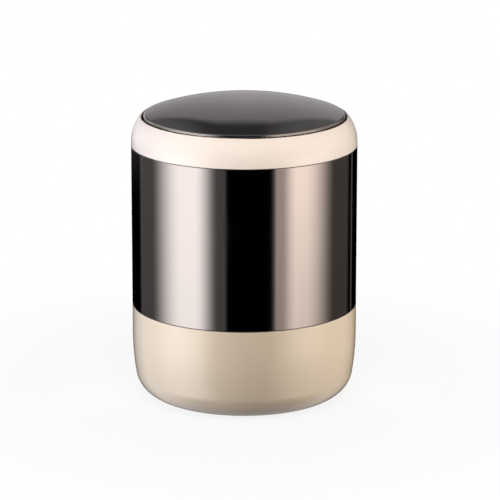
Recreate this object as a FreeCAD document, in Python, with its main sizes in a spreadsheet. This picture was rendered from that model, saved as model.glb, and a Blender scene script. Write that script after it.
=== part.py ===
"""Swing-lid bin: a round casing with a steel band, a lift-off collar, a weighted lid and a pail.

The bin stands on the plane z = 0 with its axis on Z. The lid turns on an axis along X, and +Y is the back.
"""

import FreeCAD, Part
import math
import os
import re
import Sketcher

# Driving dimensions in millimetres, and angles in degrees.
DIMENSIONS = {
    # casing, from the floor up
    "body_diameter": "200",  # across the steel band
    "base_height": "83.2",  # base moulding below the band
    "band_height": "144.2",
    "band_thickness": "0.8",
    "shell_wall": "2.6",
    "foot_corner_radius": "23.9",  # rounded foot of the base
    "side_arc_radius": "240",  # slow curve that draws the base in above its foot
    "side_turn_angle": "8.9",  # how far that curve turns
    "base_spigot": "14",  # part of the base that stands inside the band
    "edge_round": "0.5",  # edges of the mouldings beside the band
    "band_round": "0.4",
    "free_round": "0.5",  # other free edges of the mouldings
    "press_gap": "0.1",  # between a sleeve and what it is pushed over
    # rubber ring under the base
    "foot_stand": "0.8",
    "foot_seat": "1.2",
    "foot_width": "7",
    "foot_inset": "8",  # in from the edge of the flat bottom
    "foot_round": "0.3",
    # collar, from its outer skin inwards
    "collar_wall": "2.6",
    "slide_gap": "0.2",
    "neck_wall": "1.8",
    "skirt_wall": "2.2",
    "skirt_depth": "12",
    "lip_depth": "2",
    "lip_height": "3",
    "lip_round": "0.6",
    "collar_straight": "2.6",
    "shoulder_radius": "36",
    # lid skin
    "lid_gap": "2",
    "lid_proud": "0.2",
    "lid_edge_round": "2.4",
    "lid_rim_height": "3.1",
    "lid_skin": "0.6",
    "hem_width": "1.5",
    "hem_round": "0.5",
    "dome_radius": "269",
    # lid tray and its weight
    "tray_wall": "2",
    "dish_clearance": "11.1",  # between the dish and the heads of the pivot pins
    "dish_slope_width": "24",  # of the dish's wall, seen from above
    "dish_depth": "34.5",
    "dish_round": "2.5",  # inside the dish's corners
    "weight_thickness": "9",
    "weight_side_gap": "3",
    "screw_diameter": "4",
    "screw_head_diameter": "7.2",
    "screw_head_height": "2.2",
    "screw_head_round": "1.4",
    "screw_recess_width": "4",
    "screw_recess_slot": "1",
    "screw_recess_depth": "1.3",
    "screw_tip_chamfer": "0.6",
    "screw_hole_gap": "0.2",
    "screw_edge_distance": "12",
    "screw_grip_length": "6",
    "screw_end_gap": "1",
    "screw_count": "3",
    # lid pivots
    "pin_diameter": "5",
    "pin_head_diameter": "8.4",
    "pin_head_height": "1.6",
    "pin_head_round": "0.7",
    "pin_chamfer": "0.5",
    "pin_end_gap": "0.6",
    "run_gap": "0.05",
    "bush_wall": "2",
    "bush_flange": "0.8",
    "bush_flange_width": "1.8",
    "boss_wall": "3",
    "boss_length": "10",
    "pivot_clearance": "1.4",  # between the lid's hem and the boss below it
    "clip_thickness": "0.6",
    "clip_diameter": "10.4",
    "clip_opening": "3.4",
    "clip_seat_gap": "0.1",
    "clip_groove_depth": "0.4",
    "clip_groove_play": "0.05",
    "side_play": "0.6",
    "lug_thickness": "4.2",
    # stops of the lid
    "swing_angle": "70",
    "stop_margin_angle": "0.6",
    "hood_gap": "0.6",
    "hood_wall": "2",
    "hood_end_gap": "0.4",
    "fin_thickness": "3",
    "fin_overreach": "1",
    "buffer_wall": "1.5",
    "buffer_length": "6",
    # pail
    "flange_gap": "0.4",
    "flange_thickness": "2.5",
    "ledge_width": "4",
    "ledge_thickness": "3",
    "pail_gap": "0.4",
    "pail_wall": "1.8",
    "pail_taper": "7",
    "pail_corner_radius": "16",
    "pail_floor_gap": "3",
    # bail
    "wire_diameter": "3",
    "bail_bend_radius": "4",
    "bail_hole_gap": "0.08",
    "bail_rest_gap": "0.3",
    "bail_clearance": "6",  # between the bail's ears and the collar above them
    "grip_diameter": "8",
    "grip_length": "60",
    "grip_gap": "0.4",
    "ear_wall": "2.3",
    "ear_thickness": "2.6",
    "ear_inner_gap": "0.4",
}

# Heights and radii of the casing.
BODY_R = "(body_diameter / 2)"
SLEEVE_IN = f"({BODY_R} - band_thickness)"
FITTED_R = f"({SLEEVE_IN} - press_gap)"
INNER_R = f"({BODY_R} - shell_wall)"
BAND_LOW = "(foot_stand + base_height)"
BAND_TOP = f"({BAND_LOW} + band_height)"

# The base is drawn in by a slow arc that runs into its rounded foot.
JOIN_X = f"({BODY_R} - side_arc_radius * (1 - cos(side_turn_angle)))"
JOIN_Z = "(foot_stand + foot_corner_radius * (1 - sin(side_turn_angle)))"
SIDE_Z = f"({JOIN_Z} + side_arc_radius * sin(side_turn_angle))"
FLAT_R = f"({JOIN_X} - foot_corner_radius * cos(side_turn_angle))"
FOOT_OUT = f"({FLAT_R} - foot_inset)"
FOOT_IN = f"({FOOT_OUT} - foot_width)"
FOOT_TOP = "(foot_stand + foot_seat)"

# The collar's walls, from its skin to the mouth, with the casing's neck in the slot between them.
SLOT_OUT = f"({BODY_R} - collar_wall)"
NECK_OUT = f"({SLOT_OUT} - slide_gap)"
NECK_IN = f"({NECK_OUT} - neck_wall)"
SKIRT_OUT = f"({NECK_IN} - slide_gap)"
SKIRT_IN = f"({SKIRT_OUT} - skirt_wall)"
MOUTH_R = f"({SKIRT_IN} - lip_depth)"
SKIRT_LOW = f"({BAND_TOP} - skirt_depth)"

# The shoulder is an arc that starts upright and runs into the rounded lip of the mouth.
SHOULDER_X = f"({BODY_R} - shoulder_radius)"
SHOULDER_Z = f"({BAND_TOP} + collar_straight)"
LIP_X = f"({MOUTH_R} + lip_round)"
LIP_RISE = f"sqrt((shoulder_radius - lip_round)^2 - ({LIP_X} - {SHOULDER_X})^2)"
LIP_Z = f"({SHOULDER_Z} + {LIP_RISE})"
LIP_REACH = "shoulder_radius / (shoulder_radius - lip_round)"
EDGE_Z = f"({LIP_Z} + lip_round)"
SLOT_TOP = f"({SHOULDER_Z} + sqrt((shoulder_radius - collar_wall)^2 - ({SKIRT_OUT} - {SHOULDER_X})^2))"

# The lid's dome runs into a rounded edge, an upright rim and a hem below the tray.
LID_R = f"({MOUTH_R} - lid_gap)"
LID_Z = f"({EDGE_Z} + lid_proud)"
HEM_TOP = f"({LID_Z} - lid_rim_height)"
HEM_LOW = f"({HEM_TOP} - lid_skin)"
HEM_IN = f"({LID_R} - lid_skin - hem_width)"
EDGE_X = f"({LID_R} - lid_edge_round)"
DOME_RISE = f"sqrt((dome_radius - lid_edge_round)^2 - {EDGE_X}^2)"
DOME_Z = f"({LID_Z} - {DOME_RISE})"

# Each pivot, from the collar's skirt inwards along X.
PIN_R = "(pin_diameter / 2)"
BORE_R = f"({PIN_R} + run_gap)"
BUSH_R = f"({BORE_R} + bush_wall)"
BOSS_R = f"({BUSH_R} + boss_wall)"
PIVOT_Z = f"({HEM_LOW} - pivot_clearance - {BOSS_R})"
BOSS_IN = f"({SKIRT_IN} - boss_length)"
BUSH_FACE = f"({BOSS_IN} - bush_flange)"
CLIP_OUT = f"({BUSH_FACE} - side_play)"
CLIP_IN = f"({CLIP_OUT} - clip_thickness)"
LUG_OUT = f"({CLIP_IN} - clip_seat_gap)"
LUG_IN = f"({LUG_OUT} - lug_thickness)"
HEAD_X = f"({LUG_IN} - pin_head_height)"
ROOT_X = f"({SKIRT_IN} + skirt_wall / 2)"

# The tray closes the lid from below and dips, between the pins, to a dish that holds the weight.
TRAY_R = f"({LID_R} - lid_skin - press_gap)"
TRAY_TOP = f"({HEM_TOP} + tray_wall)"
DISH_TOP_R = f"({HEAD_X} - dish_clearance)"
DISH_FLOOR_R = f"({DISH_TOP_R} - dish_slope_width)"
DISH_Z = f"({HEM_TOP} - dish_depth)"
DISH_SLOPE = "atan(dish_slope_width / dish_depth)"
DISH_STEP = f"(tray_wall * (1 - sin({DISH_SLOPE})) / cos({DISH_SLOPE}))"
WEIGHT_R = f"({DISH_FLOOR_R} - {DISH_STEP} - weight_side_gap)"
WEIGHT_Z = f"({DISH_Z} + tray_wall)"
SCREW_CIRCLE = f"({WEIGHT_R} - screw_edge_distance)"

# A hood on the lid half surrounds each boss and meets a buffered fin at the ends of the swing.
HOOD_IN = f"({BOSS_R} + hood_gap)"
HOOD_OUT = f"({HOOD_IN} + hood_wall)"
HOOD_END = f"({HEM_IN} - hood_end_gap)"
FIN_HALF = "(fin_thickness / 2)"
FIN_TIP = f"({HOOD_OUT} + fin_overreach)"
BUFFER_HALF = f"({FIN_HALF} + buffer_wall)"
STOP_ANGLE = f"((swing_angle + stop_margin_angle - 90) * 1 deg + asin({BUFFER_HALF} / {HOOD_IN}))"

# The pail hangs by its flange, below the bail that lies on it.
WIRE_R = "(wire_diameter / 2)"
GRIP_R = "(grip_diameter / 2)"
HOLE_R = f"({WIRE_R} + bail_hole_gap)"
EAR_R = f"({HOLE_R} + ear_wall)"
BAIL_Z = f"({SKIRT_LOW} - bail_clearance - {EAR_R})"
FLANGE_TOP = f"({BAIL_Z} - {GRIP_R} - bail_rest_gap)"
LEDGE_TOP = f"({FLANGE_TOP} - flange_thickness)"
FLANGE_R = f"({NECK_IN} - flange_gap)"
LEDGE_IN = f"({FLANGE_R} - ledge_width)"
PAIL_R = f"({LEDGE_IN} - pail_gap)"
PAIL_LOW = "(foot_stand + shell_wall + pail_floor_gap)"
PAIL_SLOPE = f"atan(pail_taper / ({LEDGE_TOP} - {PAIL_LOW}))"
PAIL_CORNER_Z = f"({PAIL_LOW} + pail_corner_radius)"
PAIL_CORNER_X = (
    f"({PAIL_R} - ({LEDGE_TOP} - {PAIL_CORNER_Z}) * tan({PAIL_SLOPE})"
    f" - pail_corner_radius / cos({PAIL_SLOPE}))"
)
BAIL_R = f"({NECK_IN} - grip_gap - {GRIP_R} - bail_bend_radius)"
EAR_IN = f"({BAIL_R} + bail_bend_radius + ear_inner_gap)"
EAR_OUT = f"({EAR_IN} + ear_thickness)"

doc = FreeCAD.newDocument("swing_lid_bin")
sheet = doc.addObject("Spreadsheet::Sheet", "dims")
for row, (alias, value) in enumerate(DIMENSIONS.items(), start=1):
    sheet.set(f"A{row}", alias)
    sheet.set(f"B{row}", value)
    sheet.setAlias(f"B{row}", alias)
doc.recompute()


def number(expression):
    """Value of an expression in the sheet's sizes."""
    return float(sheet.evalExpression(expression))


def bind(thing, path, expression):
    """Tie a property to the sheet, where every size has a name of two words or more."""
    thing.setExpression(path, re.sub(r"\b[a-z]+(_[a-z]+)+\b", r"dims.\g<0>", expression))


def new_body(name):
    body = doc.addObject("PartDesign::Body", name)
    body.Label = name
    return body


def origin_feature(body, role):
    return next(feature for feature in body.Origin.OriginFeatures if feature.Role == role)


def new_sketch(body, name, plane, offset="0"):
    """Sketch on one of the body's own planes, moved along the plane's normal by offset."""
    sketch = body.newObject("Sketcher::SketchObject", name)
    sketch.AttachmentSupport = [(origin_feature(body, plane), "")]
    sketch.MapMode = "FlatFace"
    bind(sketch, "AttachmentOffset.Base.z", offset)
    return sketch


def pin_point(sketch, geometry, vertex, axis, expression):
    """Hold one coordinate of a sketched point at an expression in the sheet's sizes."""
    constraint = Sketcher.Constraint("Distance" + axis, -1, 1, geometry, vertex, number(expression))
    index = sketch.addConstraint(constraint)
    name = f"{axis.lower()}_{geometry}_{vertex}"
    sketch.renameConstraint(index, name)
    bind(sketch, "Constraints." + name, expression)


def to(x, y):
    """Straight edge to a point."""
    return {"end": (x, y)}


def arc(x, y, centre_x, centre_y, turn):
    """Round edge to a point about a centre, turning left or right."""
    return {"end": (x, y), "centre": (centre_x, centre_y), "turn": turn}


def draw_outline(sketch, edges, closed=True):
    """Chain of straight and round edges, each given by its end; an open chain begins at the first one."""
    ends = [FreeCAD.Vector(number(edge["end"][0]), number(edge["end"][1]), 0) for edge in edges]
    drawn = range(0 if closed else 1, len(edges))
    geometry = {}
    for index in drawn:
        edge = edges[index]
        start, end = ends[index - 1], ends[index]
        if "centre" in edge:
            centre = FreeCAD.Vector(number(edge["centre"][0]), number(edge["centre"][1]), 0)
            if edge["turn"] == "right":
                start, end = end, start
            circle = Part.Circle(centre, FreeCAD.Vector(0, 0, 1), (start - centre).Length)
            angles = [math.atan2(point.y - centre.y, point.x - centre.x) for point in (start, end)]
            geometry[index] = sketch.addGeometry(Part.ArcOfCircle(circle, *angles), False)
        else:
            geometry[index] = sketch.addGeometry(Part.LineSegment(start, end), False)
    for index in drawn:
        edge = edges[index]
        end_vertex = 1 if edge.get("turn") == "right" else 2
        following = (index + 1) % len(edges)
        if following in geometry:
            start_vertex = 2 if edges[following].get("turn") == "right" else 1
            joint = (geometry[index], end_vertex, geometry[following], start_vertex)
            sketch.addConstraint(Sketcher.Constraint("Coincident", *joint))
        for axis, expression in zip("XY", edge["end"]):
            pin_point(sketch, geometry[index], end_vertex, axis, expression)
        if "centre" in edge:
            chord = ends[index] - ends[index - 1]
            side = 0 if abs(chord.y) >= abs(chord.x) else 1
            pin_point(sketch, geometry[index], 3, "XY"[side], edge["centre"][side])
    if not closed:
        start_vertex = 2 if edges[1].get("turn") == "right" else 1
        for axis, expression in zip("XY", edges[0]["end"]):
            pin_point(sketch, geometry[1], start_vertex, axis, expression)


def draw_circle(sketch, x, y, radius):
    centre = FreeCAD.Vector(number(x), number(y), 0)
    circle = Part.Circle(centre, FreeCAD.Vector(0, 0, 1), number(radius))
    geometry = sketch.addGeometry(circle, False)
    pin_point(sketch, geometry, 3, "X", x)
    pin_point(sketch, geometry, 3, "Y", y)
    index = sketch.addConstraint(Sketcher.Constraint("Radius", geometry, number(radius)))
    name = f"radius_{geometry}"
    sketch.renameConstraint(index, name)
    bind(sketch, "Constraints." + name, radius)


def rectangle(x_low, x_high, y_low, y_high):
    return [to(x_low, y_low), to(x_high, y_low), to(x_high, y_high), to(x_low, y_high)]


def turn(body, sketch, axis):
    """Solid of revolution of a sketch about one of its own axes."""
    feature = body.newObject("PartDesign::Revolution", body.Label + "_turned")
    feature.Profile = sketch
    feature.ReferenceAxis = (sketch, [axis])
    feature.Angle = 360
    sketch.Visibility = False
    doc.recompute()
    return feature


def turn_profile(body, edges, axis="V_Axis"):
    """Solid of revolution of an outline on the XZ plane, about Z or, for H_Axis, about X."""
    sketch = new_sketch(body, body.Label + "_profile", "XZ_Plane")
    draw_outline(sketch, edges)
    return turn(body, sketch, axis)


def pad(body, sketch, length):
    feature = body.newObject("PartDesign::Pad", sketch.Label + "_pad")
    feature.Profile = sketch
    bind(feature, "Length", length)
    sketch.Visibility = False
    doc.recompute()
    return feature


def pocket(body, sketch, length):
    """Cut from the sketch along its plane's normal, with a check that something was cut away."""
    before = body.Shape.Volume
    feature = body.newObject("PartDesign::Pocket", sketch.Label + "_pocket")
    feature.Profile = sketch
    feature.Reversed = True
    bind(feature, "Length", length)
    sketch.Visibility = False
    doc.recompute()
    if body.Shape.Volume >= before:
        raise RuntimeError(f"{feature.Label} cuts nothing")
    return feature


def round_edges(body, radius, *places):
    """Round the circular edges of a turned body, each found by its radius and its place along the axis."""
    base = body.Tip
    wanted = [(number(edge_radius), number(along)) for edge_radius, along in places]
    found = []
    for index, edge in enumerate(base.Shape.Edges, start=1):
        if edge.Degenerated or not isinstance(edge.Curve, Part.Circle):
            continue
        # The centre lies on the body's axis, X or Z.
        at = (edge.Curve.Radius, edge.Curve.Center.x + edge.Curve.Center.z)
        if any(math.dist(at, place) < Part.Precision.confusion() for place in wanted):
            found.append(f"Edge{index}")
    if len(found) != len(wanted):
        raise RuntimeError(f"{body.Label} has {len(found)} of the {len(wanted)} edges to round")
    feature = body.newObject("PartDesign::Fillet", f"{base.Label}_rounded")
    feature.Base = (base, found)
    bind(feature, "Radius", radius)
    doc.recompute()


def mirror(body, features):
    """Repeat features on the other side of the plane x = 0."""
    feature = body.newObject("PartDesign::Mirrored", body.Label + "_mirrored")
    feature.Originals = features
    feature.MirrorPlane = (origin_feature(body, "YZ_Plane"), [""])
    body.Tip = feature
    doc.recompute()
    return feature


def repeat_round(body, features, count):
    """Repeat features round the bin's axis."""
    feature = body.newObject("PartDesign::PolarPattern", body.Label + "_round")
    feature.Originals = features
    feature.Axis = (origin_feature(body, "Z_Axis"), [""])
    feature.Angle = 360
    bind(feature, "Occurrences", count)
    body.Tip = feature
    doc.recompute()
    return feature


def on_pivot(body, side):
    """Move a body drawn at the right-hand pivot, about the X axis, to the pivot on its side."""
    half_turn = 0 if side == "right" else 180
    body.Placement = FreeCAD.Placement(
        FreeCAD.Vector(0, 0, 0), FreeCAD.Rotation(FreeCAD.Vector(0, 0, 1), half_turn)
    )
    bind(body, "Placement.Base.z", PIVOT_Z)


def make_base_shell():
    """Lower casing: a rounded bowl with a groove below and a spigot inside the band."""
    corner = (FLAT_R, "foot_stand + foot_corner_radius")
    side = (f"{BODY_R} - side_arc_radius", SIDE_Z)
    inner_join_x = f"{JOIN_X} - shell_wall * cos(side_turn_angle)"
    inner_join_z = f"{JOIN_Z} + shell_wall * sin(side_turn_angle)"
    rounded_x = f"{BODY_R} - edge_round"
    rounded_z = f"{BAND_LOW} - edge_round"
    spigot_top = f"{BAND_LOW} + base_spigot"
    floor_top = "foot_stand + shell_wall"
    body = new_body("base_shell")
    turn_profile(body, [
        to("0", "foot_stand"),
        to(FOOT_IN, "foot_stand"),
        to(FOOT_IN, FOOT_TOP),
        to(FOOT_OUT, FOOT_TOP),
        to(FOOT_OUT, "foot_stand"),
        to(FLAT_R, "foot_stand"),
        arc(JOIN_X, JOIN_Z, *corner, "left"),
        arc(BODY_R, SIDE_Z, *side, "left"),
        to(BODY_R, rounded_z),
        arc(rounded_x, BAND_LOW, rounded_x, rounded_z, "left"),
        to(FITTED_R, BAND_LOW),
        to(FITTED_R, spigot_top),
        to(INNER_R, spigot_top),
        to(INNER_R, SIDE_Z),
        arc(inner_join_x, inner_join_z, *side, "right"),
        arc(FLAT_R, floor_top, *corner, "right"),
        to("0", floor_top),
    ])
    round_edges(body, "free_round", (FITTED_R, spigot_top), (INNER_R, spigot_top))
    return body


def make_foot_ring():
    """Rubber ring that fills the groove under the base and stands a little below it."""
    body = new_body("foot_ring")
    inner_round = f"{FOOT_IN} + foot_round"
    outer_round = f"{FOOT_OUT} - foot_round"
    turn_profile(body, [
        arc(inner_round, "0", inner_round, "foot_round", "left"),
        to(outer_round, "0"),
        arc(FOOT_OUT, "foot_round", outer_round, "foot_round", "left"),
        to(FOOT_OUT, FOOT_TOP),
        to(FOOT_IN, FOOT_TOP),
        to(FOOT_IN, "foot_round"),
    ])
    return body


def make_metal_band():
    """Steel sleeve between the base and the collar, with its outer edges eased."""
    body = new_body("metal_band")
    eased_x = f"{BODY_R} - band_round"
    low_z = f"{BAND_LOW} + band_round"
    high_z = f"{BAND_TOP} - band_round"
    turn_profile(body, [
        to(SLEEVE_IN, BAND_LOW),
        to(eased_x, BAND_LOW),
        arc(BODY_R, low_z, eased_x, low_z, "left"),
        to(BODY_R, high_z),
        arc(eased_x, BAND_TOP, eased_x, high_z, "left"),
        to(SLEEVE_IN, BAND_TOP),
    ])
    return body


def make_rim_ring():
    """Ring inside the band's top: a neck that centres the collar and a ledge that hangs the pail."""
    body = new_body("rim_ring")
    ledge_low = f"{LEDGE_TOP} - ledge_thickness"
    turn_profile(body, [
        to(LEDGE_IN, ledge_low),
        to(FITTED_R, ledge_low),
        to(FITTED_R, BAND_TOP),
        to(NECK_OUT, BAND_TOP),
        to(NECK_OUT, SHOULDER_Z),
        to(NECK_IN, SHOULDER_Z),
        to(NECK_IN, LEDGE_TOP),
        to(LEDGE_IN, LEDGE_TOP),
    ])
    round_edges(
        body,
        "free_round",
        (NECK_OUT, SHOULDER_Z),
        (NECK_IN, SHOULDER_Z),
        (LEDGE_IN, LEDGE_TOP),
        (LEDGE_IN, ledge_low),
        (FITTED_R, ledge_low),
    )
    return body


def make_shoulder_collar():
    """Lift-off collar: a curved skin and an upright skirt, with a bored boss and a fin at each pivot."""
    body = new_body("shoulder_collar")
    shoulder = (SHOULDER_X, SHOULDER_Z)
    rounded_x = f"{BODY_R} - edge_round"
    rounded_z = f"{BAND_TOP} + edge_round"
    lip_low = f"{LIP_Z} - lip_height"
    turn_profile(body, [
        to(SLOT_OUT, BAND_TOP),
        to(rounded_x, BAND_TOP),
        arc(BODY_R, rounded_z, rounded_x, rounded_z, "left"),
        to(BODY_R, SHOULDER_Z),
        arc(
            f"{SHOULDER_X} + ({LIP_X} - {SHOULDER_X}) * {LIP_REACH}",
            f"{SHOULDER_Z} + {LIP_RISE} * {LIP_REACH}",
            *shoulder,
            "left",
        ),
        arc(MOUTH_R, LIP_Z, LIP_X, LIP_Z, "left"),
        to(MOUTH_R, lip_low),
        to(SKIRT_IN, f"{lip_low} - lip_depth"),
        to(SKIRT_IN, SKIRT_LOW),
        to(SKIRT_OUT, SKIRT_LOW),
        to(SKIRT_OUT, SLOT_TOP),
        arc(SLOT_OUT, SHOULDER_Z, *shoulder, "right"),
    ])
    round_edges(body, "free_round", (SKIRT_IN, SKIRT_LOW), (SKIRT_OUT, SKIRT_LOW))
    boss = new_sketch(body, "boss", "YZ_Plane", BOSS_IN)
    draw_circle(boss, "0", PIVOT_Z, BOSS_R)
    boss_pad = pad(body, boss, f"{ROOT_X} - {BOSS_IN}")
    fin = new_sketch(body, "fin", "YZ_Plane", BOSS_IN)
    fin_root = f"{PIVOT_Z} - {BUSH_R} - boss_wall / 2"
    draw_outline(fin, rectangle(f"-{FIN_HALF}", FIN_HALF, f"{PIVOT_Z} - {FIN_TIP}", fin_root))
    fin_pad = pad(body, fin, f"{ROOT_X} - {BOSS_IN}")
    mirror(body, [boss_pad, fin_pad])
    bore = new_sketch(body, "bush_bore", "YZ_Plane", BOSS_IN)
    draw_circle(bore, "0", PIVOT_Z, BUSH_R)
    bore_pocket = pocket(body, bore, "boss_length")
    mirror(body, [bore_pocket])
    return body


def make_pivot_bush(side):
    """Flanged bush in the collar's boss, in which a pin runs."""
    body = new_body("pivot_bush_" + side)
    flange_r = f"{BUSH_R} + bush_flange_width"
    turn_profile(body, [
        to(BUSH_FACE, BORE_R),
        to(SKIRT_IN, BORE_R),
        to(SKIRT_IN, BUSH_R),
        to(BOSS_IN, BUSH_R),
        to(BOSS_IN, flange_r),
        to(BUSH_FACE, flange_r),
    ], axis="H_Axis")
    on_pivot(body, side)
    return body


def make_pivot_pin(side):
    """Headed pin, held in the tray's lug, with a groove for its clip."""
    body = new_body("pivot_pin_" + side)
    end_x = f"{SKIRT_IN} - pin_end_gap"
    groove_low = f"{CLIP_IN} - clip_groove_play"
    groove_high = f"{CLIP_OUT} + clip_groove_play"
    groove_r = f"{PIN_R} - clip_groove_depth"
    turn_profile(body, [
        to(HEAD_X, "0"),
        to(end_x, "0"),
        to(end_x, f"{PIN_R} - pin_chamfer"),
        to(f"{end_x} - pin_chamfer", PIN_R),
        to(groove_high, PIN_R),
        to(groove_high, groove_r),
        to(groove_low, groove_r),
        to(groove_low, PIN_R),
        to(LUG_IN, PIN_R),
        to(LUG_IN, "pin_head_diameter / 2"),
        to(HEAD_X, "pin_head_diameter / 2"),
    ], axis="H_Axis")
    round_edges(body, "pin_head_round", ("pin_head_diameter / 2", HEAD_X))
    on_pivot(body, side)
    return body


def make_pin_clip(side):
    """Open retaining clip in the pin's groove."""
    body = new_body("pin_clip_" + side)
    half = "(clip_opening / 2)"
    inner_r = f"({PIN_R} - clip_groove_depth + clip_groove_play)"
    outer_r = "(clip_diameter / 2)"
    inner_y = f"-sqrt({inner_r}^2 - {half}^2)"
    outer_y = f"-sqrt({outer_r}^2 - {half}^2)"
    clip = new_sketch(body, body.Label + "_outline", "YZ_Plane", CLIP_IN)
    draw_outline(clip, [
        to(half, outer_y),
        arc(f"-{half}", outer_y, "0", "0", "left"),
        to(f"-{half}", inner_y),
        arc(half, inner_y, "0", "0", "right"),
    ])
    pad(body, clip, "clip_thickness")
    on_pivot(body, side)
    return body


def make_stop_buffer(side):
    """Rubber channel pushed over the collar's fin, where the lid's hood stops."""
    body = new_body("stop_buffer_" + side)
    channel = new_sketch(body, body.Label + "_outline", "YZ_Plane", BOSS_IN)
    low = f"-({FIN_TIP} + buffer_wall)"
    top = f"-{HOOD_IN}"
    draw_outline(channel, [
        to(f"-{BUFFER_HALF}", low),
        to(BUFFER_HALF, low),
        to(BUFFER_HALF, top),
        to(FIN_HALF, top),
        to(FIN_HALF, f"-{FIN_TIP}"),
        to(f"-{FIN_HALF}", f"-{FIN_TIP}"),
        to(f"-{FIN_HALF}", top),
        to(f"-{BUFFER_HALF}", top),
    ])
    pad(body, channel, "buffer_length")
    on_pivot(body, side)
    return body


def make_lid_dome():
    """Spun skin of the lid: a low dome, a rounded edge, a rim and a hem that grips the tray."""
    body = new_body("lid_dome")
    dome = ("0", DOME_Z)
    edge = (EDGE_X, LID_Z)
    apex = f"{DOME_Z} + dome_radius"
    outer_share = "dome_radius / (dome_radius - lid_edge_round)"
    inner_share = "(dome_radius - lid_skin) / (dome_radius - lid_edge_round)"
    rim_in = f"{LID_R} - lid_skin"
    turn_profile(body, [
        to("0", f"{apex} - lid_skin"),
        arc(f"{EDGE_X} * {inner_share}", f"{DOME_Z} + {DOME_RISE} * {inner_share}", *dome, "right"),
        arc(rim_in, LID_Z, *edge, "right"),
        to(rim_in, HEM_TOP),
        to(HEM_IN, HEM_TOP),
        to(HEM_IN, HEM_LOW),
        to(LID_R, HEM_LOW),
        to(LID_R, LID_Z),
        arc(f"{EDGE_X} * {outer_share}", f"{DOME_Z} + {DOME_RISE} * {outer_share}", *edge, "left"),
        arc("0", apex, *dome, "left"),
    ])
    round_edges(body, "hem_round", (LID_R, HEM_LOW))
    return body


def make_lid_tray():
    """Underside of the lid: a rim in the dome's hem, a dish, and a lug and hood at each pivot."""
    body = new_body("lid_tray")
    turn_profile(body, [
        to("0", DISH_Z),
        to(DISH_FLOOR_R, DISH_Z),
        to(DISH_TOP_R, HEM_TOP),
        to(TRAY_R, HEM_TOP),
        to(TRAY_R, TRAY_TOP),
        to(f"{DISH_TOP_R} - {DISH_STEP}", TRAY_TOP),
        to(f"{DISH_FLOOR_R} - {DISH_STEP}", WEIGHT_Z),
        to("0", WEIGHT_Z),
    ])
    inner_corners = (f"{DISH_FLOOR_R} - {DISH_STEP}", WEIGHT_Z), (DISH_TOP_R, HEM_TOP)
    outer_corners = (DISH_FLOOR_R, DISH_Z), (f"{DISH_TOP_R} - {DISH_STEP}", TRAY_TOP)
    round_edges(body, "dish_round", *inner_corners)
    round_edges(body, "dish_round + tray_wall", *outer_corners)
    rooted = f"{HEM_TOP} + tray_wall / 2"
    lug = new_sketch(body, "lug", "YZ_Plane", LUG_IN)
    draw_outline(lug, [
        to(f"-{HOOD_OUT}", PIVOT_Z),
        arc(HOOD_OUT, PIVOT_Z, "0", PIVOT_Z, "left"),
        to(HOOD_OUT, rooted),
        to(f"-{HOOD_OUT}", rooted),
    ])
    draw_circle(lug, "0", PIVOT_Z, PIN_R)
    lug_pad = pad(body, lug, "lug_thickness")
    hood = new_sketch(body, "hood", "YZ_Plane", LUG_OUT)
    inner = (f"{HOOD_IN} * cos({STOP_ANGLE})", f"{PIVOT_Z} + {HOOD_IN} * sin({STOP_ANGLE})")
    outer = (f"{HOOD_OUT} * cos({STOP_ANGLE})", f"{PIVOT_Z} + {HOOD_OUT} * sin({STOP_ANGLE})")
    draw_outline(hood, [
        to(*outer),
        arc(f"-{outer[0]}", outer[1], "0", PIVOT_Z, "left"),
        to(f"-{inner[0]}", inner[1]),
        arc(*inner, "0", PIVOT_Z, "right"),
    ])
    hood_pad = pad(body, hood, f"{HOOD_END} - {LUG_OUT}")
    mirror(body, [lug_pad, hood_pad])
    hole = new_sketch(body, "screw_hole", "XY_Plane", DISH_Z)
    draw_circle(hole, SCREW_CIRCLE, "0", "screw_diameter / 2 + screw_hole_gap")
    hole_pocket = pocket(body, hole, "tray_wall")
    repeat_round(body, [hole_pocket], "screw_count")
    return body


def make_counterweight():
    """Steel disc in the tray's dish, tapped from below for its screws."""
    body = new_body("counterweight")
    disc = new_sketch(body, "disc", "XY_Plane", WEIGHT_Z)
    draw_circle(disc, "0", "0", WEIGHT_R)
    pad(body, disc, "weight_thickness")
    hole = new_sketch(body, "tapped_hole", "XY_Plane", WEIGHT_Z)
    draw_circle(hole, SCREW_CIRCLE, "0", "screw_diameter / 2")
    hole_pocket = pocket(body, hole, "screw_grip_length + screw_end_gap")
    repeat_round(body, [hole_pocket], "screw_count")
    return body


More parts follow.
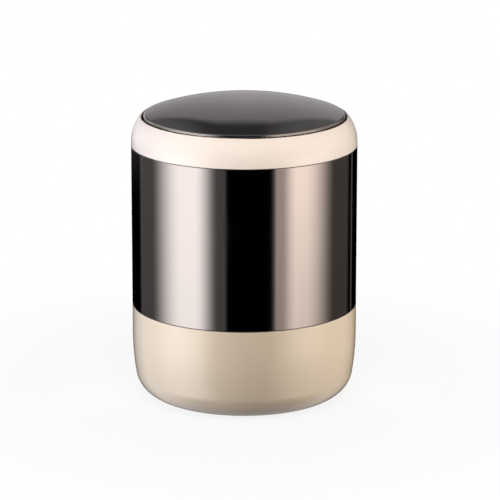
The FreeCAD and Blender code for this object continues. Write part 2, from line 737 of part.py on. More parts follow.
def make_counterweight_screws():
    """Pan-head screws up through the tray into the weight, each with a cross recess."""
    body = new_body("counterweight_screws")
    head_low = f"{DISH_Z} - screw_head_height"
    head_r = "(screw_head_diameter / 2)"
    shank_r = "(screw_diameter / 2)"
    rounded_r = f"{head_r} - screw_head_round"
    rounded_z = f"{head_low} + screw_head_round"
    tip_z = f"{DISH_Z} + tray_wall + screw_grip_length"
    profile = new_sketch(body, "screw_profile", "XZ_Plane")
    bind(profile, "AttachmentOffset.Base.x", SCREW_CIRCLE)
    draw_outline(profile, [
        to("0", head_low),
        to(rounded_r, head_low),
        arc(head_r, rounded_z, rounded_r, rounded_z, "left"),
        to(head_r, DISH_Z),
        to(shank_r, DISH_Z),
        to(shank_r, f"{tip_z} - screw_tip_chamfer"),
        to(f"{shank_r} - screw_tip_chamfer", tip_z),
        to("0", tip_z),
    ])
    turned = turn(body, profile, "V_Axis")
    recess = new_sketch(body, "screw_recess", "XY_Plane", head_low)
    arm, slot = "screw_recess_width / 2", "screw_recess_slot / 2"
    corners = [(arm, slot), (slot, slot), (slot, arm)]
    cross = []
    for x_sign, y_sign in (("+", "+"), ("-", "+"), ("-", "-"), ("+", "-")):
        quarter = [to(f"{SCREW_CIRCLE} {x_sign} {x}", f"{y_sign}{y}") for x, y in corners]
        cross += quarter if x_sign == y_sign else quarter[::-1]
    draw_outline(recess, cross)
    recess_pocket = pocket(body, recess, "screw_recess_depth")
    repeat_round(body, [turned, recess_pocket], "screw_count")
    return body


def make_inner_pail():
    """Tapered pail with a flange that hangs on the rim ring's ledge, and two ears for the bail."""
    body = new_body("inner_pail")
    corner = (PAIL_CORNER_X, PAIL_CORNER_Z)
    cos_slope = f"cos({PAIL_SLOPE})"
    sin_slope = f"sin({PAIL_SLOPE})"
    inner_top = f"{PAIL_R} - pail_wall / {cos_slope}"
    inner_corner_r = "(pail_corner_radius - pail_wall)"
    floor_top = f"{PAIL_LOW} + pail_wall"
    turn_profile(body, [
        to("0", PAIL_LOW),
        to(PAIL_CORNER_X, PAIL_LOW),
        arc(
            f"{PAIL_CORNER_X} + pail_corner_radius * {cos_slope}",
            f"{PAIL_CORNER_Z} - pail_corner_radius * {sin_slope}",
            *corner,
            "left",
        ),
        to(PAIL_R, LEDGE_TOP),
        to(FLANGE_R, LEDGE_TOP),
        to(FLANGE_R, FLANGE_TOP),
        to(inner_top, FLANGE_TOP),
        to(inner_top, LEDGE_TOP),
        to(
            f"{PAIL_CORNER_X} + {inner_corner_r} * {cos_slope}",
            f"{PAIL_CORNER_Z} - {inner_corner_r} * {sin_slope}",
        ),
        arc(PAIL_CORNER_X, floor_top, *corner, "right"),
        to("0", floor_top),
    ])
    round_edges(body, "free_round", (FLANGE_R, LEDGE_TOP), (FLANGE_R, FLANGE_TOP), (inner_top, FLANGE_TOP))
    ear = new_sketch(body, "ear", "YZ_Plane", EAR_IN)
    rooted = f"{FLANGE_TOP} - flange_thickness / 2"
    draw_outline(ear, [
        to(f"-{EAR_R}", rooted),
        to(EAR_R, rooted),
        to(EAR_R, BAIL_Z),
        arc(f"-{EAR_R}", BAIL_Z, "0", BAIL_Z, "left"),
    ])
    draw_circle(ear, "0", BAIL_Z, HOLE_R)
    ear_pad = pad(body, ear, "ear_thickness")
    mirror(body, [ear_pad])
    return body


def make_bail_wire():
    """Wire handle of the pail: a half ring with its ends turned out through the ears."""
    body = new_body("bail_wire")
    bend_x = f"({BAIL_R} + bail_bend_radius)"
    path = new_sketch(body, "bail_path", "XY_Plane")
    draw_outline(path, [
        to(EAR_OUT, "0"),
        to(bend_x, "0"),
        arc(BAIL_R, "bail_bend_radius", bend_x, "bail_bend_radius", "right"),
        arc(f"-{BAIL_R}", "bail_bend_radius", "0", "bail_bend_radius", "left"),
        arc(f"-{bend_x}", "0", f"-{bend_x}", "bail_bend_radius", "right"),
        to(f"-{EAR_OUT}", "0"),
    ], closed=False)
    section = new_sketch(body, "bail_section", "YZ_Plane", EAR_OUT)
    draw_circle(section, "0", "0", WIRE_R)
    doc.recompute()
    swept = body.newObject("PartDesign::AdditivePipe", "bail_swept")
    swept.Profile = section
    swept.Spine = (path, [f"Edge{edge}" for edge in range(1, path.GeometryCount + 1)])
    bind(body, "Placement.Base.z", BAIL_Z)
    doc.recompute()
    return body


def make_bail_grip():
    """Moulded tube on the middle of the bail."""
    body = new_body("bail_grip")
    section = new_sketch(body, "grip_section", "YZ_Plane")
    draw_circle(section, BAIL_R, "0", GRIP_R)
    draw_circle(section, BAIL_R, "0", f"{WIRE_R} + press_gap")
    turned = turn(body, section, "V_Axis")
    turned.Midplane = True
    bind(turned, "Angle", f"grip_length / {BAIL_R} * 180 / pi")
    bind(body, "Placement.Base.y", "bail_bend_radius")
    bind(body, "Placement.Base.z", BAIL_Z)
    return body


parts = [
    make_base_shell(),
    make_foot_ring(),
    make_metal_band(),
    make_rim_ring(),
    make_shoulder_collar(),
    make_lid_dome(),
    make_lid_tray(),
    make_counterweight(),
    make_counterweight_screws(),
    make_inner_pail(),
    make_bail_wire(),
    make_bail_grip(),
]
for hand in ("left", "right"):
    parts.append(make_pivot_bush(hand))
    parts.append(make_pivot_pin(hand))
    parts.append(make_pin_clip(hand))
    parts.append(make_stop_buffer(hand))

doc.recompute()
for thing in doc.Objects:
    if "Invalid" in thing.State or "Error" in thing.State:
        raise RuntimeError(f"{thing.Label} did not rebuild")
for body in parts:
    if body.Shape.isNull() or not body.Shape.isValid():
        raise RuntimeError(f"{body.Label} has no valid shape")

os.makedirs("parts", exist_ok=True)
for body in parts:
    body.Shape.exportStep(f"parts/{body.Label}.step")
    print(f"{body.Label}: {len(body.Shape.Solids)} solid(s), {body.Shape.Volume:.0f} mm3")
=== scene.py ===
import math

import bpy
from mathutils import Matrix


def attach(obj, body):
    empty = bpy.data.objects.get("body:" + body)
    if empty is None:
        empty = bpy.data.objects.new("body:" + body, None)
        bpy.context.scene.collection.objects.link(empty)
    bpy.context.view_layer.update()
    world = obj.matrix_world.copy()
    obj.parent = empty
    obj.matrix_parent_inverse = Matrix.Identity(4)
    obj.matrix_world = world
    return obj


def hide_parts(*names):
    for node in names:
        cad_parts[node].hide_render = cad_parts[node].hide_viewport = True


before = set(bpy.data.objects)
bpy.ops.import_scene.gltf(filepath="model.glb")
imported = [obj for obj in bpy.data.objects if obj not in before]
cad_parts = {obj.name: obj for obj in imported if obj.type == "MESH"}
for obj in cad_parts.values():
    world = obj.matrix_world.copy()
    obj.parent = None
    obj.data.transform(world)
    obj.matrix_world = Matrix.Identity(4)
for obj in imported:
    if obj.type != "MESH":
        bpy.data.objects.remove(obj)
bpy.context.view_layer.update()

# Base shell: the lower casing, one injection moulding in glossy beige plastic with a rounded foot.
# It stands on a rubber ring, and the steel band is pushed down over the spigot inside its top edge.

BEIGE = (0.79, 0.635, 0.465, 1)
BEIGE_DEEP = (0.77, 0.615, 0.445, 1)
BEIGE_GRIMY = (0.50, 0.40, 0.29, 1)
FLOW_SCALE = 7
GLOSS_ROUGHNESS = 0.14
LACQUER_ROUGHNESS = 0.06
PEEL_SCALE = 420
PEEL_DEPTH = 0.0000015
SMUDGE_SCALE = 28
SMUDGE_EDGE = (0.45, 0.75)
SMUDGE_DULLING = 0.06
SCUFF_TOP = 0.016
SCUFF_SCALE = 220
SCUFF_FLATTENING = 5
SCUFF_EDGE = (0.60, 0.68)
SCUFF_SHARE = 0.6
SCUFF_DULLING = 0.3
# Painted shade at the band's edges: its dark colour, its half height, and the radii from which it shows on
# the outside.
SEAM_SHADE_PAINTED = (0.03, 0.025, 0.02, 1)
SEAM_REACH = 0.0006
SEAM_INSIDE = 0.0985
SEAM_OUTSIDE = 0.099

band_heights = [corner[2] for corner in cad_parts["metal_band"].bound_box]


class Shade:
    """A value, colour or vector in a node tree. Arithmetic on it adds the Math nodes that work it out."""

    def __init__(self, tree, socket=None):
        self.tree = tree
        self.socket = socket

    def node(self, kind, settings, sockets, output=0):
        """Add a node: its settings first, then the values or links of its sockets."""
        made = self.tree.nodes.new(kind)
        for name, value in settings.items():
            setattr(made, name, value)
        for name, value in sockets.items():
            if isinstance(value, Shade):
                self.tree.links.new(value.socket, made.inputs[name])
            else:
                made.inputs[name].default_value = value
        return Shade(self.tree, made.outputs[output])

    def math(self, operation, first, second=0.0):
        return self.node("ShaderNodeMath", {"operation": operation}, {0: first, 1: second})

    def __add__(self, other):
        return self.math("ADD", self, other)

    def __sub__(self, other):
        return self.math("SUBTRACT", self, other)

    def __rsub__(self, other):
        return self.math("SUBTRACT", other, self)

    def __mul__(self, other):
        return self.math("MULTIPLY", self, other)

    __radd__ = __add__
    __rmul__ = __mul__

    def rise(self, start, end, low=0.0, high=1.0):
        """Smooth step from low at start to high at end, where end may lie below start."""
        return self.node(
            "ShaderNodeMapRange",
            {"interpolation_type": "SMOOTHSTEP"},
            {"Value": self, "From Min": start, "From Max": end, "To Min": low, "To Max": high},
        )

    def between(self, first, second):
        """Colour between two colours, by this share of the second."""
        return self.node(
            "ShaderNodeMix", {"data_type": "RGBA"}, {"Factor": self, 6: first, 7: second}, 2
        )

    def split(self):
        """The three parts of a vector."""
        made = self.node("ShaderNodeSeparateXYZ", {}, {"Vector": self}).socket.node
        return [Shade(self.tree, part) for part in made.outputs]

    def off_axis(self):
        """Distance of a place from the bin's axis."""
        x, y, _ = self.split()
        return self.math("SQRT", x * x + y * y)

    def stretched(self, x, y, z):
        """A vector with each part scaled."""
        return self.node("ShaderNodeVectorMath", {"operation": "MULTIPLY"}, {0: self, 1: (x, y, z)})

    def noise(self, scale, detail=2.0):
        return self.node("ShaderNodeTexNoise", {}, {"Vector": self, "Scale": scale, "Detail": detail})


def new_finish(name, **constants):
    """A material, its shader with sockets set, and the place of a point on the object in metres."""
    material = bpy.data.materials.new(name)
    material.use_nodes = True
    tree = material.node_tree
    shader = tree.nodes["Principled BSDF"]
    for socket, value in constants.items():
        shader.inputs[socket.replace("_", " ").title().replace("Ior", "IOR")].default_value = value
    place = Shade(tree).node("ShaderNodeTexCoord", {}, {}, "Object")
    return material, shader, place


def feed(shader, **sockets):
    """Link what changes over the surface to the shader."""
    for socket, value in sockets.items():
        value.tree.links.new(value.socket, shader.inputs[socket.replace("_", " ").title()])


def dented(height, depth):
    """Surface normal of a height that varies from 0 to 1, for a depth in metres."""
    return height.node("ShaderNodeBump", {}, {"Height": height, "Distance": depth, "Strength": 1.0})


def dress(material, *names):
    """Give CAD nodes a finish."""
    for name in names:
        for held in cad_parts[name].material_slots:
            held.material = material


def glossy_moulding(name, pale, deep, lacquer, shine, seam):
    """Polished plastic with a faint flow pattern, smudges, scuffs near the floor, and a painted shadow line
    along a seam.
    """
    material, shader, place = new_finish(
        name, coat_weight=lacquer, coat_roughness=LACQUER_ROUGHNESS, specular_ior_level=shine
    )
    height = place.split()[2]
    outside = place.off_axis().rise(SEAM_INSIDE, SEAM_OUTSIDE)
    # Painted shade: a thin dark line at the seam's height on the outside stands in for the shadow in the
    # groove next to the band.
    seam_shade = place.math("ABSOLUTE", height - seam).rise(SEAM_REACH, SEAM_REACH / 2) * outside
    scuffs = place.stretched(1, 1, SCUFF_FLATTENING).noise(SCUFF_SCALE, detail=4).rise(*SCUFF_EDGE)
    scuffs = scuffs * height.rise(SCUFF_TOP, 0)
    smudge = place.noise(SMUDGE_SCALE, detail=3).rise(*SMUDGE_EDGE)
    clean = place.noise(FLOW_SCALE).between(pale, deep)
    feed(
        shader,
        base_color=seam_shade.between((scuffs * SCUFF_SHARE).between(clean, BEIGE_GRIMY), SEAM_SHADE_PAINTED),
        roughness=GLOSS_ROUGHNESS + smudge * SMUDGE_DULLING + scuffs * SCUFF_DULLING,
        normal=dented(place.noise(PEEL_SCALE), PEEL_DEPTH),
    )
    return material


beige_gloss = glossy_moulding(
    "beige_gloss", BEIGE, BEIGE_DEEP, lacquer=0.75, shine=0.6, seam=min(band_heights)
)
dress(beige_gloss, "base_shell")

# Foot ring: a black rubber ring pushed into the groove under the base, which stands on it.
# Moulded rubber, dull, a little dusty where it meets the floor.

RUBBER = (0.018, 0.018, 0.019, 1)
RUBBER_DUSTY = (0.09, 0.085, 0.08, 1)
RUBBER_SHINE = 0.35
RUBBER_ROUGHNESS = 0.72
RUBBER_GRAIN = 1400
RUBBER_GRAIN_DEPTH = 0.00002
DUST_SCALE = 160
DUST_EDGE = (0.45, 0.8)
DUST_SHARE = 0.5
DUST_DULLING = 0.18

black_rubber, shader, place = new_finish("black_rubber", specular_ior_level=RUBBER_SHINE)
dust = place.noise(DUST_SCALE, detail=5).rise(*DUST_EDGE)
feed(
    shader,
    base_color=(dust * DUST_SHARE).between(RUBBER, RUBBER_DUSTY),
    roughness=RUBBER_ROUGHNESS + dust * DUST_DULLING,
    normal=dented(place.noise(RUBBER_GRAIN, detail=3), RUBBER_GRAIN_DEPTH),
)
dress(black_rubber, "foot_ring")

# Steel band: a sleeve rolled from dark polished steel sheet, flush with the mouldings above and below it.
# The sheet was polished round the sleeve, so its finest marks run that way.

STEEL_DARK = (0.395, 0.38, 0.372, 1)
STEEL_DARKER = (0.349, 0.333, 0.329, 1)
TONE_SCALE = 9
MIRROR_ROUGHNESS = 0.07
PRINT_SCALE = 24
PRINT_EDGE = (0.48, 0.8)
PRINT_DULLING = 0.05
POLISH_ALONG = 18
POLISH_ACROSS = 2600
POLISH_DULLING = 0.03
POLISH_DEPTH = 0.0000006


def polished_steel(name, marks):
    """Dark mirror steel; marks gives, from a point's place, the vector along which polish marks lie."""
    material, shader, place = new_finish(name, metallic=1.0)
    prints = place.noise(PRINT_SCALE, detail=3).rise(*PRINT_EDGE)
    lines = marks(place).noise(1, detail=3)
    feed(
        shader,
        base_color=place.noise(TONE_SCALE).between(STEEL_DARK, STEEL_DARKER),
        roughness=MIRROR_ROUGHNESS + prints * PRINT_DULLING + lines * POLISH_DULLING,
        normal=dented(lines, POLISH_DEPTH),
    )
    return material


def round_the_sleeve(place):
    """Vector of polish marks that run round an upright sleeve."""
    return place.stretched(POLISH_ALONG, POLISH_ALONG, POLISH_ACROSS)


steel_band = polished_steel("steel_band", round_the_sleeve)
dress(steel_band, "metal_band")

# Rim ring: a satin beige moulding inside the band's top, pressed into it.
# Its neck centres the collar and its ledge hangs the pail.

SATIN = (0.62, 0.50, 0.37, 1)
SATIN_DEEP = (0.56, 0.445, 0.325, 1)
SATIN_FLOW = 12
SATIN_ROUGHNESS = 0.42
SATIN_PATCHES = 60
SATIN_PATCH_DULLING = 0.12
SATIN_GRAIN = 1100
GRAIN_DEPTH = 0.00001

beige_satin, shader, place = new_finish("beige_satin")
feed(
    shader,
    base_color=place.noise(SATIN_FLOW).between(SATIN, SATIN_DEEP),
    roughness=SATIN_ROUGHNESS + place.noise(SATIN_PATCHES, detail=3) * SATIN_PATCH_DULLING,
    normal=dented(place.noise(SATIN_GRAIN), GRAIN_DEPTH),
)
dress(beige_satin, "rim_ring")

# Inner pail: a lift-out pail moulded in charcoal plastic, hung by its flange on the rim ring's ledge.
# The inside is rubbed by rubbish and by washing, so upright marks run down its wall.

CHARCOAL = (0.082, 0.083, 0.087, 1)
CHARCOAL_RUBBED = (0.125, 0.126, 0.13, 1)
RUB_SCALE = 260
RUB_UPRIGHT = 0.3
RUB_EDGE = (0.52, 0.72)
RUB_SHARE = 0.2
RUB_POLISH = 0.06
PAIL_ROUGHNESS = 0.46
PAIL_PATCHES = 40
PAIL_PATCH_DULLING = 0.14
PAIL_GRAIN = 1300

grey_pail, shader, place = new_finish("grey_pail")
rubbed = place.stretched(1, 1, RUB_UPRIGHT).noise(RUB_SCALE, detail=4).rise(*RUB_EDGE)
patches = place.noise(PAIL_PATCHES, detail=3)
feed(
    shader,
    base_color=(rubbed * RUB_SHARE).between(CHARCOAL, CHARCOAL_RUBBED),
    roughness=PAIL_ROUGHNESS + patches * PAIL_PATCH_DULLING - rubbed * RUB_POLISH,
    normal=dented(place.noise(PAIL_GRAIN), GRAIN_DEPTH),
)
dress(grey_pail, "inner_pail")

# Bail: a bright steel wire bent to a half ring, its ends turned out through the pail's ears.
# It is drawn smooth, with dull patches at random along it.

STEEL = (0.56, 0.56, 0.565, 1)
STEEL_DULL = (0.42, 0.42, 0.425, 1)
STEEL_PATCHES = 120
STEEL_ROUGHNESS = 0.26
DRAW_SCALE = 2200
DRAW_LENGTHENING = 0.15
DRAW_DULLING = 0.16
DRAW_DEPTH = 0.000006

plain_steel, shader, place = new_finish("plain_steel", metallic=1.0)
drawn = place.stretched(DRAW_LENGTHENING, 1, 1).noise(DRAW_SCALE, detail=3)
feed(
    shader,
    base_color=place.noise(STEEL_PATCHES, detail=3).between(STEEL, STEEL_DULL),
    roughness=STEEL_ROUGHNESS + drawn * DRAW_DULLING,
    normal=dented(drawn, DRAW_DEPTH),
)
dress(plain_steel, "bail_wire")

# Grip: a black moulded tube with rounded ribs for the fingers, threaded on the bail's middle.
# It is a loose fit, so it turns on the wire while the pail is carried.

GRIP_MIDDLE = (0, 0.004, 0.20632)
GRIP_BEND = 0.087
GRIP_LENGTH = 0.06
GRIP_VALLEY = 0.0034
GRIP_BORE = 0.0016
GRIP_SIDES = 28
GRIP_STEPS = 57
RIB_HEIGHT = 0.0006
RIB_PITCH = 4
RIB_RINGS = 2
MERGE_REACH = 0.000001
BLACK = (0.014, 0.014, 0.015, 1)
BLACK_RUBBED = (0.035, 0.035, 0.036, 1)
WEAR_SCALE = 90
WEAR_EDGE = (0.5, 0.75)
WEAR_SHARE = 0.45
BLACK_ROUGHNESS = 0.44
BLACK_PATCHES = 50
BLACK_PATCH_DULLING = 0.14
BLACK_GRAIN = 1300

grip_turn = GRIP_LENGTH / GRIP_BEND
grip_start = (
    GRIP_MIDDLE[0] + GRIP_BEND * math.sin(grip_turn / 2),
    GRIP_MIDDLE[1] + GRIP_BEND * math.cos(grip_turn / 2),
    GRIP_MIDDLE[2],
)
ring_turn = (0, math.pi / 2, -grip_turn / 2)


def grip_ring(place):
    """Number of the ring, from 0 at the grip's start, on which a point of its mesh lies."""
    angle = math.atan2(place.x - GRIP_MIDDLE[0], place.y - GRIP_MIDDLE[1])
    return round((grip_turn / 2 - angle) / grip_turn * GRIP_STEPS)


def off_wire(place):
    """Distance of a point of the grip's mesh from the wire's middle line."""
    across = math.hypot(place.x - GRIP_MIDDLE[0], place.y - GRIP_MIDDLE[1]) - GRIP_BEND
    return math.hypot(across, place.z - GRIP_MIDDLE[2])


def on_rib(place):
    """Whether a point lies on the tube's outside, on one of the rings that make a rib."""
    outside = off_wire(place) > (GRIP_BORE + GRIP_VALLEY) / 2
    return outside and grip_ring(place) % RIB_PITCH < RIB_RINGS


def pick(mesh, wanted):
    """Select, in edit mode, the points whose place is wanted, and what lies between them."""
    bpy.ops.mesh.select_all(action="DESELECT")
    bpy.ops.object.mode_set(mode="OBJECT")
    for point in mesh.vertices:
        point.select = wanted(point.co)
    bpy.ops.object.mode_set(mode="EDIT")
    bpy.ops.mesh.select_mode(type="VERT")


bpy.ops.object.select_all(action="DESELECT")
bpy.ops.mesh.primitive_circle_add(
    vertices=GRIP_SIDES, radius=GRIP_VALLEY, location=grip_start, rotation=ring_turn
)
grip = bpy.context.object
grip.name = "ribbed_grip"
bpy.ops.object.transform_apply(location=True, rotation=True, scale=True)
bpy.ops.object.mode_set(mode="EDIT")
bpy.ops.mesh.primitive_circle_add(
    vertices=GRIP_SIDES, radius=GRIP_BORE, location=grip_start, rotation=ring_turn
)
bpy.ops.mesh.select_all(action="SELECT")
bpy.ops.mesh.spin(steps=GRIP_STEPS, angle=-grip_turn, center=GRIP_MIDDLE, axis=(0, 0, 1))
bpy.ops.mesh.select_all(action="SELECT")
bpy.ops.mesh.normals_make_consistent(inside=False)
pick(grip.data, on_rib)
bpy.ops.transform.shrink_fatten(value=RIB_HEIGHT)
for end in (0, GRIP_STEPS):
    pick(grip.data, lambda place: grip_ring(place) == end)
    bpy.ops.mesh.bridge_edge_loops()
bpy.ops.mesh.select_all(action="SELECT")
bpy.ops.mesh.remove_doubles(threshold=MERGE_REACH)
bpy.ops.mesh.normals_make_consistent(inside=False)
bpy.ops.object.mode_set(mode="OBJECT")
rounded = grip.modifiers.new("rounded", "SUBSURF")
rounded.levels = rounded.render_levels = 1
bpy.ops.object.modifier_apply(modifier="rounded")
bpy.ops.object.shade_smooth()

black_tray, shader, place = new_finish("black_tray")
worn = place.noise(WEAR_SCALE, detail=4).rise(*WEAR_EDGE)
feed(
    shader,
    base_color=(worn * WEAR_SHARE).between(BLACK, BLACK_RUBBED),
    roughness=BLACK_ROUGHNESS + place.noise(BLACK_PATCHES, detail=3) * BLACK_PATCH_DULLING,
    normal=dented(place.noise(BLACK_GRAIN), GRAIN_DEPTH),
)
grip.data.materials.append(black_tray)
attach(grip, "bail")
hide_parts("bail_grip")

# Shoulder collar: a lift-off ring moulded in the same glossy beige plastic as the base, its colour painted
# paler to stand in for the stronger light from above on it.
# It stands on the band and slips over the rim ring's neck; its bosses inside carry the lid.

# Painted light: this beige is paler than the base's to stand in for part of the light from above on the
# collar; the plastic is the same.
BEIGE_WITH_PAINTED_LIGHT = (0.80, 0.68, 0.585, 1)
BEIGE_DEEP_WITH_PAINTED_LIGHT = (0.785, 0.662, 0.565, 1)

beige_gloss_with_painted_light = glossy_moulding(
    "beige_gloss_with_painted_light", BEIGE_WITH_PAINTED_LIGHT, BEIGE_DEEP_WITH_PAINTED_LIGHT, lacquer=0.3, shine=0.5, seam=max(band_heights)
)
dress(beige_gloss_with_painted_light, "shoulder_collar")

# Pivot bushes and stop buffers: white acetal bushes pressed into the collar's bosses,
# and black rubber channels pushed over its fins, which the lid's hoods meet.

ACETAL = (0.78, 0.775, 0.75, 1)
ACETAL_DEEP = (0.70, 0.69, 0.66, 1)
ACETAL_FLOW = 150
ACETAL_ROUGHNESS = 0.34
ACETAL_PATCHES = 300
ACETAL_PATCH_DULLING = 0.1

white_acetal, shader, place = new_finish("white_acetal")
feed(
    shader,
    base_color=place.noise(ACETAL_FLOW, detail=3).between(ACETAL, ACETAL_DEEP),
    roughness=ACETAL_ROUGHNESS + place.noise(ACETAL_PATCHES) * ACETAL_PATCH_DULLING,
)
dress(white_acetal, "pivot_bush_left", "pivot_bush_right")
dress(black_rubber, "stop_buffer_left", "stop_buffer_right")

# Lid dome: a low dome spun from sheet of the same dark polished steel as the band.
# Its edge is rolled down and hemmed under the tray, and spinning leaves rings too fine to see singly.


def round_the_dome(place):
    """Vector of polish marks that run in rings round the bin's axis."""
    x, y, _ = place.split()
    return place.node(
        "ShaderNodeCombineXYZ",
        {},
        {"X": place.off_axis() * POLISH_ACROSS, "Y": x * POLISH_ALONG, "Z": y * POLISH_ALONG},
    )


steel_dome = polished_steel("steel_dome", round_the_dome)
dress(steel_dome, "lid_dome")

# Lid tray: the black moulded underside of the lid, crimped into the dome's hem.
# A steel disc lies in its dish as a counterweight, held by three screws from below.

dress(black_tray, "lid_tray")
dress(plain_steel, "counterweight", "counterweight_screws")

# Pivot pins and clips: headed steel pins on which the lid turns, pushed outwards through the tray's lugs.
# A spring clip of bright steel snaps into the groove of each pin and keeps it from sliding back.

dress(plain_steel, "pivot_pin_left", "pivot_pin_right", "pin_clip_left", "pin_clip_right")

# Floor: a wide pale sheet on which the bin stands. The camera sees it white with the bin's soft shadow,
# and polished metal looks past it to the studio's walls.

FLOOR_HALF = 30.0
FLOOR_SHADE = (0.31, 0.31, 0.31, 1)
SHADOWED_SHADE = (0.8, 0.8, 0.8, 1)
SHADOW_SHARE = 0.14
SHADOW_NEAR = 0.15
SHADOW_FAR = 0.45
WHITE = (1, 1, 1, 1)

bpy.ops.object.select_all(action="DESELECT")
bpy.ops.mesh.primitive_plane_add(size=2 * FLOOR_HALF, location=(0, 0, 0))
floor = bpy.context.object
floor.name = "floor"
floor.visible_glossy = False
pale_floor = bpy.data.materials.new("pale_floor")
pale_floor.use_nodes = True
tree = pale_floor.node_tree
tree.nodes.remove(tree.nodes["Principled BSDF"])
start = Shade(tree)
camera_ray = start.node("ShaderNodeLightPath", {}, {}, "Is Camera Ray")
near = start.node("ShaderNodeTexCoord", {}, {}, "Object").off_axis().rise(SHADOW_FAR, SHADOW_NEAR)
sheet = start.node("ShaderNodeBsdfDiffuse", {}, {"Color": FLOOR_SHADE})
shadowed = start.node("ShaderNodeBsdfDiffuse", {}, {"Color": SHADOWED_SHADE})
glow = start.node("ShaderNodeEmission", {}, {"Color": WHITE, "Strength": 1.0})
shown = start.node("ShaderNodeMixShader", {}, {"Fac": near * SHADOW_SHARE, 1: glow, 2: shadowed})
mixed = start.node("ShaderNodeMixShader", {}, {"Fac": camera_ray, 1: sheet, 2: shown})
tree.links.new(mixed.socket, tree.nodes["Material Output"].inputs["Surface"])
floor.data.materials.append(pale_floor)

# Lamps: four soft boxes close to the bin, on both sides, in front above it and behind it.
# They light what isn't mirrored; polished surfaces see the studio's walls instead of them.

AIM_HEIGHT = 0.14
COOL_LIGHT = (0.862, 0.965, 1.165)
WHITE_LIGHT = (1, 1, 1)


def soft_box(name, azimuth, elevation, distance, width, tall, power, colour):
    """Area lamp that faces the bin's middle, seen from the bin at an azimuth right of the camera's side."""
    turn, climb = math.radians(azimuth), math.radians(elevation)
    lamp = bpy.data.lights.new(name, "AREA")
    lamp.shape = "RECTANGLE"
    lamp.size, lamp.size_y = width, tall
    lamp.energy = power
    lamp.color = colour
    box = bpy.data.objects.new(name, lamp)
    box.location = (
        distance * math.sin(turn) * math.cos(climb),
        -distance * math.cos(turn) * math.cos(climb),
        AIM_HEIGHT + distance * math.sin(climb),
    )
    box.rotation_euler = (math.pi / 2 - climb, 0, turn)
    box.visible_glossy = False
    box.visible_camera = False
    bpy.context.scene.collection.objects.link(box)


soft_box(
    "left_box", azimuth=-86, elevation=-6, distance=0.8, width=0.6, tall=0.26, power=9.2, colour=COOL_LIGHT
)
soft_box(
    "right_box", azimuth=97, elevation=-4, distance=0.8, width=0.5, tall=0.28, power=7.05, colour=WHITE_LIGHT
)
soft_box(
    "front_box", azimuth=0, elevation=40, distance=0.6, width=0.5, tall=0.3, power=2.95, colour=WHITE_LIGHT
)
soft_box(
    "back_box", azimuth=180, elevation=40, distance=0.8, width=0.5, tall=0.6, power=2.8, colour=WHITE_LIGHT
)

# Studio walls: what polished surfaces mirror, laid out in degrees of turn off the camera and of climb.
# Tall bright boxes stand at the sides before grey walls, with dark cloth between them, and a pale screen
# with an arched top hangs at the back below a dark ceiling. Each soft edge is given from dark to full.

LEFT_TINT = (0.684, 0.645, 0.632)
RIGHT_TINT = (0.748, 0.632, 0.555)
BACK_TINT = (0.79, 0.755, 0.78)

# Upright panels: near edge, far edge and brightness.
LEFT_WALL = ((17, 20), (134, 130), 0.2)
LEFT_BOX = ((27, 52), (109, 66), 3.4)
RIGHT_WALL = ((27, 30), (136, 128), 0.14)
RIGHT_SLIT = ((140.5, 141.5), (144.5, 143.5), 0.25)
RIGHT_SHEET = ((30, 33), (60, 45), 0.85)
RIGHT_BOX = ((38, 58), (105, 63), 3.0)

# Height of the panels, which are dimmer towards the floor.
PANEL_FOOT = (-46, -32)
PANEL_TOP = (10, -8)
PANEL_FADE = (-28, -6)
PANEL_LEAST = 0.45
PANEL_GAIN = 1.2
RIGHT_FADE = (-20, -12)
RIGHT_LEAST = 0.55

# Sloping panels above the boxes, dimmer towards the back.
UPPER_NEAR = (25, 50)
UPPER_FAR = (150, 138)
UPPER_FOOT = (-4, 10)
UPPER_TOP = (66, 46)
UPPER_FADE = (115, 85)
LEFT_UPPER = (0.9, 1.8)
RIGHT_UPPER = (0.65, 1.4)

# Screen at the back, dimmer towards its sides and its top, with dark cloth over its arch.
SCREEN_GLOW = 0.6
SCREEN_FOOT = (-12, -3)
SCREEN_TOP = (66, 54)
SCREEN_SIDES = (50, 25)
SCREEN_RISE = (14, 40)
SCREEN_RISE_LOSS = 0.23
SCREEN_SIDE_LOSS = 0.004
SCREEN_LOW = (36, 16)
SCREEN_LOW_LOSS = 0.011
SCREEN_LOW_LEAN = 0.005
ARCH_EDGE = (37.2, 44.2)
ARCH_DROP = 0.000675
ARCH_LEAN = 0.000075
CLOTH_GLOW = 0.02
CLOTH_SIDE_GLOW = 0.15
CLOTH_RIGHT = (4, 14)
CLOTH_LEFT = (-9, -15)

# Bright strip low on the left of the screen.
STRIP_GLOW = 0.7
STRIP_RIGHT = (-6, -14)
STRIP_LEFT = (60, 45)
STRIP_FOOT = (-14, -6)
STRIP_TOP = (14, 2)

# Haze above the horizon, lit ceiling overhead and pale ground, which reaches higher away from the camera.
HAZE_EDGE = (-12, 0)
HAZE_GLOW = 0.05
CEILING_EDGE = (54, 70)
CEILING_GLOW = 0.2
GROUND_EDGE = (-54, -74)
GROUND_GLOW = 0.6
GROUND_TURN = (80, 110)
GROUND_LIFT = 30

# Plain light for all that isn't mirrored, brighter from above.
AMBIENT_EDGE = (-10, 60)
AMBIENT_GLOW = (0.06, 0.1)


def span(value, opens, closes):
    """1 between two soft edges."""
    return value.rise(*opens) * value.rise(*closes)


def panel(turned, near, far, brightness):
    """Brightness of an upright panel between its near and far edges."""
    return span(turned, near, far) * brightness


def tinted(brightness, tint):
    """Colour of a tint at a brightness."""
    return brightness.node("ShaderNodeVectorMath", {"operation": "SCALE"}, {0: tint, "Scale": brightness})


def both(first, second):
    """Sum of two colours."""
    return first.node("ShaderNodeVectorMath", {"operation": "ADD"}, {0: first, 1: second})


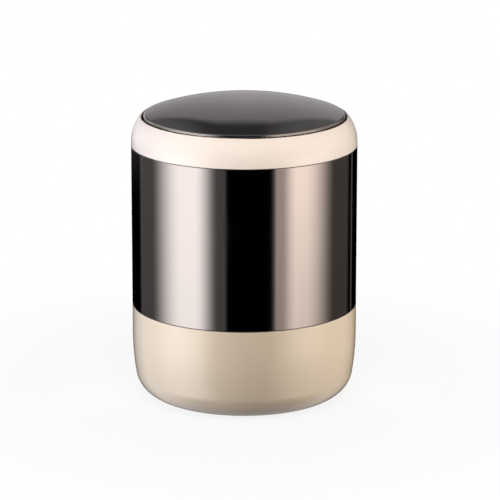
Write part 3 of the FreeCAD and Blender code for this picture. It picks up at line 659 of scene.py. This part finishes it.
studio = bpy.data.worlds.new("studio")
bpy.context.scene.world = studio
studio.use_nodes = True
tree = studio.node_tree
start = Shade(tree)
x, y, z = start.node("ShaderNodeTexCoord", {}, {}, "Generated").split()
right_turn = start.math("ARCTAN2", x, 0 - y) * math.degrees(1)
left_turn = 0 - right_turn
climb = start.math("ARCSINE", z) * math.degrees(1)

panel_height = span(climb, PANEL_FOOT, PANEL_TOP) * climb.rise(*PANEL_FADE, low=PANEL_LEAST) * PANEL_GAIN
upper_height = span(climb, UPPER_FOOT, UPPER_TOP)
left_upper = panel(left_turn, UPPER_NEAR, UPPER_FAR, left_turn.rise(*UPPER_FADE, *LEFT_UPPER))
right_upper = panel(right_turn, UPPER_NEAR, UPPER_FAR, right_turn.rise(*UPPER_FADE, *RIGHT_UPPER))
left = panel(left_turn, *LEFT_WALL) + panel(left_turn, *LEFT_BOX)
left = left * panel_height + left_upper * upper_height
right = panel(right_turn, *RIGHT_WALL) + panel(right_turn, *RIGHT_SLIT) + panel(right_turn, *RIGHT_SHEET)
right = right + panel(right_turn, *RIGHT_BOX) * climb.rise(*RIGHT_FADE, low=RIGHT_LEAST)
right = right * panel_height + right_upper * upper_height

off_front = start.math("ABSOLUTE", right_turn)
off_back = 180 - off_front
side = start.math("SIGN", right_turn)
across = off_back * side
arch = climb + off_back * off_back * off_back * off_back * (ARCH_DROP - side * ARCH_LEAN)
side_loss = SCREEN_SIDE_LOSS + climb.rise(*SCREEN_LOW) * (SCREEN_LOW_LOSS - side * SCREEN_LOW_LEAN)
pale = SCREEN_GLOW - climb.rise(*SCREEN_RISE) * SCREEN_RISE_LOSS - off_back * side_loss
cloth = CLOTH_GLOW + (across.rise(*CLOTH_RIGHT) + across.rise(*CLOTH_LEFT)) * CLOTH_SIDE_GLOW
screen = pale + (cloth - pale) * arch.rise(*ARCH_EDGE)
screen = screen * span(climb, SCREEN_FOOT, SCREEN_TOP) * off_back.rise(*SCREEN_SIDES)
strip = across.rise(*STRIP_RIGHT) * off_back.rise(*STRIP_LEFT) * span(climb, STRIP_FOOT, STRIP_TOP)
haze = climb.rise(*HAZE_EDGE) * HAZE_GLOW
ceiling = climb.rise(*CEILING_EDGE) * CEILING_GLOW
ground = (climb - off_front.rise(*GROUND_TURN) * GROUND_LIFT).rise(*GROUND_EDGE) * GROUND_GLOW
back = screen + strip * STRIP_GLOW + haze + ceiling + ground

walls = both(both(tinted(left, LEFT_TINT), tinted(right, RIGHT_TINT)), tinted(back, BACK_TINT))
ambient = tinted(climb.rise(*AMBIENT_EDGE, *AMBIENT_GLOW), WHITE_LIGHT)
camera_ray = start.node("ShaderNodeLightPath", {}, {}, "Is Camera Ray")
clear_ray = start.node("ShaderNodeLightPath", {}, {}, "Is Transmission Ray")
glossy_ray = start.node("ShaderNodeLightPath", {}, {}, "Is Glossy Ray")
bounces = start.node("ShaderNodeLightPath", {}, {}, "Diffuse Depth")
mirrored = glossy_ray * start.math("LESS_THAN", bounces, 1)
seen = start.math("MAXIMUM", camera_ray, clear_ray).between(mirrored.between(ambient, walls), WHITE)
tree.links.new(seen.socket, tree.nodes["Background"].inputs["Color"])
tree.nodes["Background"].inputs["Strength"].default_value = 1.0

# Camera: it looks a little down on the bin from the front, from nearly three metres away.
# A long lens keeps the bin's sides almost upright, and a small shift sets the bin left of the middle.

CAMERA_PLACE = (0, -2.7062, 0.8496)
CAMERA_DIP = 14.87
CAMERA_SENSOR = 36
CAMERA_LENS = 226.12
CAMERA_SHIFT = 0.0115

camera_lens = bpy.data.cameras.new("camera")
camera_lens.sensor_width = CAMERA_SENSOR
camera_lens.lens = CAMERA_LENS
camera_lens.shift_x = CAMERA_SHIFT
camera = bpy.data.objects.new("camera", camera_lens)
camera.location = CAMERA_PLACE
camera.rotation_euler = (math.radians(90 - CAMERA_DIP), 0, 0)
bpy.context.scene.collection.objects.link(camera)
bpy.context.scene.camera = camera
bpy.context.scene.view_settings.view_transform = "Standard"
